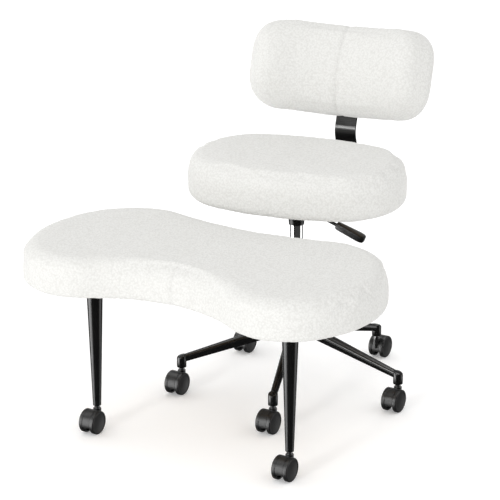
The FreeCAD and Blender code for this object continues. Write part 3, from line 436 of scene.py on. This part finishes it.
def make_arm(number):
    """One arm of the star, trimmed to the hub and to its caster socket."""
    form = bmesh.new()
    rings = [[] for _ in range(ARM_RINGS + 1)]
    length = ARM_TIP - ARM_ROOT
    for root, tip in zip(arm_outline(*ROOT_SECTION), arm_outline(*TIP_SECTION)):
        start = (math.sqrt(HUB_RADIUS ** 2 - root.x ** 2) - ARM_ROOT) / length
        stop = 1 - math.sqrt(SOCKET_HOLD ** 2 - tip.x ** 2) / length
        for step, ring in enumerate(rings):
            share = start + (stop - start) * step / ARM_RINGS
            across, height = root.lerp(tip, share)
            ring.append(form.verts.new((ARM_ROOT + length * share, across, height)))
    cover_rings(form, rings)
    turn_socket(form)
    bmesh.ops.recalc_face_normals(form, faces=form.faces)
    bmesh.ops.rotate(form, verts=form.verts, cent=(0, 0, 0),
                     matrix=Matrix.Rotation(STAR_TURN + (number - 1) * STAR_STEP, 3, "Z"))
    mesh = bpy.data.meshes.new(f"arm_{number}")
    form.to_mesh(mesh)
    form.free()
    smooth(link_piece(f"arm_{number}", mesh, f"base_arm_{number}", "base").data)


def ease_wheels(number):
    """A pair of wheels as their solids, with the rims rolled over."""
    node = f"caster_wheels_{number}"
    pair = link_piece(f"rolled_wheels_{number}", nodes[node].data.copy(), node, f"wheels_{number}")
    form = bmesh.new()
    form.from_mesh(pair.data)
    bmesh.ops.remove_doubles(form, verts=form.verts, dist=JOIN_DISTANCE)
    bmesh.ops.dissolve_limit(form, angle_limit=FLAT_ANGLE, verts=form.verts, edges=form.edges)
    form.to_mesh(pair.data)
    form.free()
    roll_edges(pair, WHEEL_EDGE)


def make_grip():
    """A paddle that widens along the lever, in place of its plain round grip."""
    edge = list(GRIP_OUTLINE) + [(reach, -half) for reach, half in reversed(GRIP_OUTLINE)]
    count = len(edge)
    points = [(reach, side, z) for z in (GRIP_HALF_DEPTH, -GRIP_HALF_DEPTH) for reach, side in edge]
    walls = [(i, (i + 1) % count, count + (i + 1) % count, count + i) for i in range(count)]
    mesh = bpy.data.meshes.new("lever_paddle")
    mesh.from_pydata(points, [], [tuple(reversed(range(count))), tuple(range(count, 2 * count))] + walls)
    place = Matrix.Translation((0, 0, LEVER_HEIGHT)) @ Matrix.Rotation(LEVER_DROOP, 4, "Y")
    mesh.transform(Matrix.Rotation(SEAT_TURN, 4, "Z") @ place)
    form = bmesh.new()
    form.from_mesh(mesh)
    bmesh.ops.recalc_face_normals(form, faces=form.faces)
    form.to_mesh(mesh)
    form.free()
    roll_edges(link_piece("lever_paddle", mesh, "lever_grip", "lever"), GRIP_EDGE)


# Cushions

VOXEL = 0.006
SWELL_FRAMES = 20
SWELL_PRESSURE = 4.0
SWELL_GIVE = 0.0008
BOARD_HOLD = 0.006
HOLD_FADE = 0.035
RIM_FACING = 0.25
CROWN_REACH = 0.11
RIM_TIGHTNESS = 2
SEAM_SNAP = 0.0001
SEAM_SPREAD = 3.0
SEAM_SHARPNESS = 2.0
WAVE_HEIGHT, WAVE_LENGTH = 0.0010, 0.055
LOOP_HEIGHT, LOOP_LENGTH = 0.0006, 0.006
CLOTH_QUALITY, CLOTH_MASS = 5, 0.3
SEAM_WIDTH = 0.006
BACK_SEAM_DEPTH, BACK_SEAM_TURN = 0.004, 0.6
STOOL_SEAM_DEPTH, STOOL_SEAM_TURN = 0.004, 1.4
CORNER_RADIUS, CORNER_POWER = 0.088, 2.6
STOOL_CEILING, CEILING_SOFTNESS = 0.4243, 0.003


def board_distances(mesh, board):
    """How far each point of a cover is from its board."""
    solid = nodes[board].data
    surface = BVHTree.FromPolygons([vertex.co for vertex in solid.vertices],
                                   [face.vertices for face in solid.polygons])
    return [surface.find_nearest(vertex.co)[3] for vertex in mesh.vertices]


def copy_solid(node, name):
    """A cushion's solid again, as a cover of its own in the woolly cloth."""
    mesh = nodes[node].data.copy()
    cushion = bpy.data.objects.new(name, mesh)
    bpy.context.scene.collection.objects.link(cushion)
    mesh.materials.clear()
    mesh.materials.append(FINISHES["boucle"])
    return cushion


def remesh(cushion):
    """Lay an even net of faces over a cover."""
    modifier = cushion.modifiers.new("even_mesh", "REMESH")
    modifier.mode = "VOXEL"
    modifier.voxel_size = VOXEL
    modifier.use_smooth_shade = True
    apply_modifiers(cushion)


def hold_share(value):
    """A share held between none and all."""
    return min(1.0, max(0.0, value))


def draw_in(mesh, slack, clearances):
    """Take the cover in by slack, less and less towards its board."""
    normals = [vertex.normal.copy() for vertex in mesh.vertices]
    for vertex, normal, clearance in zip(mesh.vertices, normals, clearances):
        share = (clearance - BOARD_HOLD) / HOLD_FADE
        vertex.co -= normal * (slack * hold_share(share))
    mesh.update()


def swell(cushion, held, cap):
    """Blow the cover up by cloth simulation; a point goes out by cap at most and in by hardly anything."""
    start = [vertex.co.copy() for vertex in cushion.data.vertices]
    normals = [vertex.normal.copy() for vertex in cushion.data.vertices]
    group = cushion.vertex_groups.new(name="held")
    group.add(list(held), 1.0, "REPLACE")
    cloth = cushion.modifiers.new("swelling", "CLOTH")
    settings = cloth.settings
    settings.quality = CLOTH_QUALITY
    settings.mass = CLOTH_MASS
    settings.use_pressure = True
    settings.uniform_pressure_force = SWELL_PRESSURE
    settings.vertex_group_mass = "held"
    settings.effector_weights.gravity = 0.0
    cloth.collision_settings.use_collision = False
    cloth.point_cache.frame_start = 1
    cloth.point_cache.frame_end = SWELL_FRAMES
    scene = bpy.context.scene
    for number in range(1, SWELL_FRAMES + 1):
        scene.frame_set(number)
    swollen = cushion.evaluated_get(bpy.context.evaluated_depsgraph_get()).to_mesh()
    places = [vertex.co.copy() for vertex in swollen.vertices]
    cushion.evaluated_get(bpy.context.evaluated_depsgraph_get()).to_mesh_clear()
    cushion.modifiers.clear()
    scene.frame_set(1)
    for vertex, old, new, normal in zip(cushion.data.vertices, start, places, normals):
        out = (new - old).dot(normal)
        vertex.co = old + normal * max(-SWELL_GIVE, min(cap, out))
    cushion.data.update()


def crown(mesh, up, rise, held):
    """Dome the face that looks along up, highest well inside the rim."""
    def flat(place):
        return place - up * place.dot(up)

    facings = [vertex.normal.dot(up) for vertex in mesh.vertices]
    rim = [flat(vertex.co) for vertex, facing in zip(mesh.vertices, facings)
           if vertex.index not in held and abs(facing) < RIM_FACING]
    tree = kdtree.KDTree(len(rim))
    for number, place in enumerate(rim):
        tree.insert(place, number)
    tree.balance()
    for vertex, facing in zip(mesh.vertices, facings):
        share = min(1.0, tree.find(flat(vertex.co))[2] / CROWN_REACH)
        vertex.co += up * (rise * max(0.0, facing) * share * (2 - share))
    mesh.update()


def fill_rim(mesh, up, push):
    """Push the rims above and below the wall outward, so that they turn in a tighter curve."""
    moves = []
    for vertex in mesh.vertices:
        rise = vertex.normal.dot(up)
        turn = 2 * abs(rise) * math.sqrt(max(0.0, 1 - rise * rise))
        moves.append(vertex.normal * (push * turn ** RIM_TIGHTNESS))
    for vertex, move in zip(mesh.vertices, moves):
        vertex.co += move
    mesh.update()


def subdivide(cushion):
    """Halve the net's spacing."""
    modifier = cushion.modifiers.new("finer_cover", "SUBSURF")
    modifier.levels = 1
    modifier.render_levels = 1
    apply_modifiers(cushion)


def sew(mesh, place, across, depth, width, share):
    """Pull the cover in along a plane; share says how much of the depth a point's normal takes."""
    form = bmesh.new()
    form.from_mesh(mesh)
    everything = form.verts[:] + form.edges[:] + form.faces[:]
    bmesh.ops.bisect_plane(form, geom=everything, dist=SEAM_SNAP, plane_co=place, plane_no=across)
    form.normal_update()
    pulls = []
    for vertex in form.verts:
        away = (vertex.co - place).dot(across) / width
        if abs(away) < SEAM_SPREAD:
            pull = depth * share(vertex.normal) / (1 + (SEAM_SHARPNESS * away) ** 2)
            pulls.append((vertex, vertex.normal * pull))
    for vertex, pull in pulls:
        vertex.co -= pull
    form.to_mesh(mesh)
    form.free()
    mesh.update()


def ruffle(mesh):
    """The slight waviness of a stuffed cover and the rough edge of its loops."""
    moves = []
    for vertex in mesh.vertices:
        wave = WAVE_HEIGHT * noise.noise(vertex.co / WAVE_LENGTH)
        loops = LOOP_HEIGHT * noise.noise(vertex.co / LOOP_LENGTH)
        moves.append(vertex.normal * (wave + loops))
    for vertex, move in zip(mesh.vertices, moves):
        vertex.co += move
    mesh.update()


def square_corners(mesh, across, rise):
    """Fill a cover's four corners out from round arcs to squarer curves."""
    spans = []
    for axis in (across, rise):
        places = [vertex.co.dot(axis) for vertex in mesh.vertices]
        low, high = min(places), max(places)
        spans.append((axis, (low + high) / 2, (high - low) / 2 - CORNER_RADIUS))
    for vertex in mesh.vertices:
        offset = Vector((0, 0, 0))
        sides = []
        for axis, centre, reach in spans:
            away = vertex.co.dot(axis) - centre
            beyond = max(0.0, abs(away) - reach)
            sides.append(beyond)
            offset += axis * math.copysign(beyond, away)
        if min(sides) > 0:
            full = sum(side ** CORNER_POWER for side in sides) ** (1 / CORNER_POWER)
            vertex.co += offset * (offset.length / full - 1)
    mesh.update()


def hold_below(mesh, ceiling, softness):
    """Ease the top of a cover off below a height, so that the backrest bar swings over it."""
    start = ceiling - softness
    for vertex in mesh.vertices:
        if vertex.co.z > start:
            vertex.co.z = ceiling - softness * math.exp((start - vertex.co.z) / softness)
    mesh.update()


def make_cushion(node, board, body, up, rise, push, slack=0.002, cap=0.004):
    """A stuffed cover over its board, domed along up, in place of the cushion's solid."""
    cushion = copy_solid(node, node.replace("cushion", "cover"))
    remesh(cushion)
    clearances = board_distances(cushion.data, board)
    held = {point for point, clearance in enumerate(clearances) if clearance < BOARD_HOLD}
    draw_in(cushion.data, slack, clearances)
    swell(cushion, held, cap)
    crown(cushion.data, up, rise, held)
    fill_rim(cushion.data, up, push)
    subdivide(cushion)
    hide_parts(node)
    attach(cushion, body)
    return cushion


def seat_direction(x, y, z):
    """A direction given in the seat's own axes, in the chair's axes at rest."""
    return Matrix.Rotation(SEAT_TURN, 3, "Z") @ Vector((x, y, z))


BACK_LEAN = math.radians(22)
UP = Vector((0, 0, 1))
BACK_FRONT = seat_direction(0, -math.cos(BACK_LEAN), math.sin(BACK_LEAN))
SEAT_SIDE = seat_direction(1, 0, 0)
SIDEWAYS = Vector((1, 0, 0))


def middle(node):
    """The middle of a node's box."""
    low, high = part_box(node)
    return (low + high) / 2


def dress_cushions():
    """The three covers: a plain seat, and a backrest and a stool with a sewn line down the middle."""
    seat = make_cushion("seat_cushion", "seat_board", "seat", UP, rise=0.004, push=0.004)
    ruffle(seat.data)

    back = make_cushion("back_cushion", "back_board", "seat", BACK_FRONT, rise=0.002, push=0.0)
    square_corners(back.data, SEAT_SIDE, BACK_FRONT.cross(SEAT_SIDE))
    sew(back.data, middle("back_board"), SEAT_SIDE, BACK_SEAM_DEPTH, SEAM_WIDTH,
        lambda normal: hold_share(BACK_SEAM_TURN + normal.dot(BACK_FRONT)))
    ruffle(back.data)

    stool = make_cushion("stool_cushion", "stool_board", "stool", UP, rise=0.002, push=0.004)
    sew(stool.data, middle("stool_board"), SIDEWAYS, STOOL_SEAM_DEPTH, SEAM_WIDTH,
        lambda normal: hold_share(-STOOL_SEAM_TURN * normal.y))
    ruffle(stool.data)
    hold_below(stool.data, STOOL_CEILING, CEILING_SOFTNESS)
    for cover in (seat, back, stool):
        for face in cover.data.polygons:
            face.use_smooth = True


# Floor, light and camera

PHOTO_PIXELS = 500
FOCAL_PIXELS = 2358.0
CAMERA_PLACE = (2.416, -4.186, 1.948)
CAMERA_AZIMUTH = 31.18
CAMERA_PITCH = 18.66
FLOOR_SIDE = 28.0
FLOOR_SHADE, FLOOR_CLOUD = 0.92, 0.985
FLOOR_GLOW = 0.18
AIR_LIGHT = 1.1
SOFTBOX_PLACE, SOFTBOX_AIM = (-0.8, -8.0, 2.5), (0, -0.1, 0.35)
SOFTBOX_SIDE = 1.4
SOFTBOX_WATTS = 205.0
DIM_SHINE = 0.06
CEILING_SHINE, CEILING_STEEPNESS = 4.0, (0.72, 0.92)
# Each panel in the reflections: its bearing and half its width in degrees, and how bright it is.
PANELS = ((-139, 24, 6.5), (32, 14, 2.2), (121, 30, 0.7))
PANEL_EDGE, PANEL_STEEPNESS = 5, (0.50, 0.38)
SENSOR_WIDTH, FAR_CLIP = 36.0, 100.0


def make_floor():
    """A pale studio floor that glows a little, so that shadows on it stay light."""
    half = FLOOR_SIDE / 2
    mesh = bpy.data.meshes.new("studio_floor")
    corners = [(-half, -half, 0), (half, -half, 0), (half, half, 0), (-half, half, 0)]
    mesh.from_pydata(corners, [], [(0, 1, 2, 3)])
    floor = bpy.data.objects.new("studio_floor", mesh)
    bpy.context.scene.collection.objects.link(floor)
    material, tree, shader = new_finish("pale_floor", grey(FLOOR_SHADE), 0.9, Specular_IOR_Level=0.1,
                                        Emission_Color=grey(1.0), Emission_Strength=FLOOR_GLOW)
    clouds = add_node(tree, "TexNoise", Vector=own_place(tree), Scale=0.7, Detail=2.0)
    tint = blend_colours(tree, clouds.outputs["Fac"], grey(FLOOR_SHADE), grey(FLOOR_SHADE * FLOOR_CLOUD))
    tree.links.new(tint, shader.inputs["Base Color"])
    mesh.materials.append(material)
    floor.visible_glossy = False


def aim(item, place, target):
    """Put an item at a place and turn it to its target."""
    item.location = place
    item.rotation_euler = (Vector(target) - Vector(place)).to_track_quat("-Z", "Y").to_euler()


def add_softbox():
    """One square softbox in front of the chair."""
    light = bpy.data.lights.new("front_softbox", "AREA")
    light.shape = "RECTANGLE"
    light.size = light.size_y = SOFTBOX_SIDE
    light.energy = SOFTBOX_WATTS
    lamp = bpy.data.objects.new("front_softbox", light)
    bpy.context.scene.collection.objects.link(lamp)
    aim(lamp, SOFTBOX_PLACE, SOFTBOX_AIM)


def panel_shine(tree):
    """How bright the studio looks in a reflection: dim, with low panels round it and a ceiling panel."""
    heading = tree.nodes.new("ShaderNodeTexCoord").outputs["Generated"]
    rise = split_vector(tree, heading)["Z"]
    level = calculate_vector(tree, "MULTIPLY", heading, (1, 1, 0))[0]
    bearing = calculate_vector(tree, "NORMALIZE", level)[0]
    low = spread(tree, calculate(tree, "ABSOLUTE", rise), *PANEL_STEEPNESS, 0.0, 1.0)
    shine = spread(tree, rise, *CEILING_STEEPNESS, DIM_SHINE, CEILING_SHINE)
    for bearing_angle, half_width, brightness in PANELS:
        angle = math.radians(bearing_angle)
        centre = (math.cos(angle), math.sin(angle), 0)
        toward = calculate_vector(tree, "DOT_PRODUCT", bearing, centre)["Value"]
        outer, inner = (math.cos(math.radians(half_width + edge)) for edge in (PANEL_EDGE, -PANEL_EDGE))
        panel = spread(tree, toward, outer, inner, 0.0, brightness)
        shine = calculate(tree, "ADD", shine, calculate(tree, "MULTIPLY", panel, low))
    return shine


def light_studio():
    """Even light all round and one softbox in front; reflections see the panels instead of the even light."""
    world = bpy.data.worlds.new("studio_air")
    world.use_nodes = True
    world.cycles.sampling_method = "NONE"
    tree = world.node_tree
    air = tree.nodes["Background"]
    air.inputs["Color"].default_value = grey(1.0)
    air.inputs["Strength"].default_value = AIR_LIGHT
    panels = add_node(tree, "Background", Color=grey(1.0), Strength=panel_shine(tree))
    path = tree.nodes.new("ShaderNodeLightPath")
    choice = tree.nodes.new("ShaderNodeMixShader")
    tree.links.new(path.outputs["Is Glossy Ray"], choice.inputs[0])
    tree.links.new(air.outputs[0], choice.inputs[1])
    tree.links.new(panels.outputs[0], choice.inputs[2])
    tree.links.new(choice.outputs[0], tree.nodes["World Output"].inputs["Surface"])
    bpy.context.scene.world = world
    add_softbox()


def place_camera():
    """The camera that took the photo, as fitted to the casters on the floor."""
    lens = bpy.data.cameras.new("photo_camera")
    lens.sensor_width = SENSOR_WIDTH
    lens.lens = lens.sensor_width * FOCAL_PIXELS / PHOTO_PIXELS
    lens.clip_end = FAR_CLIP
    camera = bpy.data.objects.new("photo_camera", lens)
    bpy.context.scene.collection.objects.link(camera)
    camera.location = CAMERA_PLACE
    camera.rotation_euler = (math.radians(90 - CAMERA_PITCH), 0, math.radians(CAMERA_AZIMUTH))
    bpy.context.scene.camera = camera


# The dressed chair

finish_solids()
for arm_number in range(1, STAR_ARMS + 1):
    make_arm(arm_number)
for caster_number in range(1, CASTERS + 1):
    ease_wheels(caster_number)
make_grip()
dress_cushions()
make_floor()
light_studio()
place_camera()
bpy.context.scene.view_settings.view_transform = "Standard"
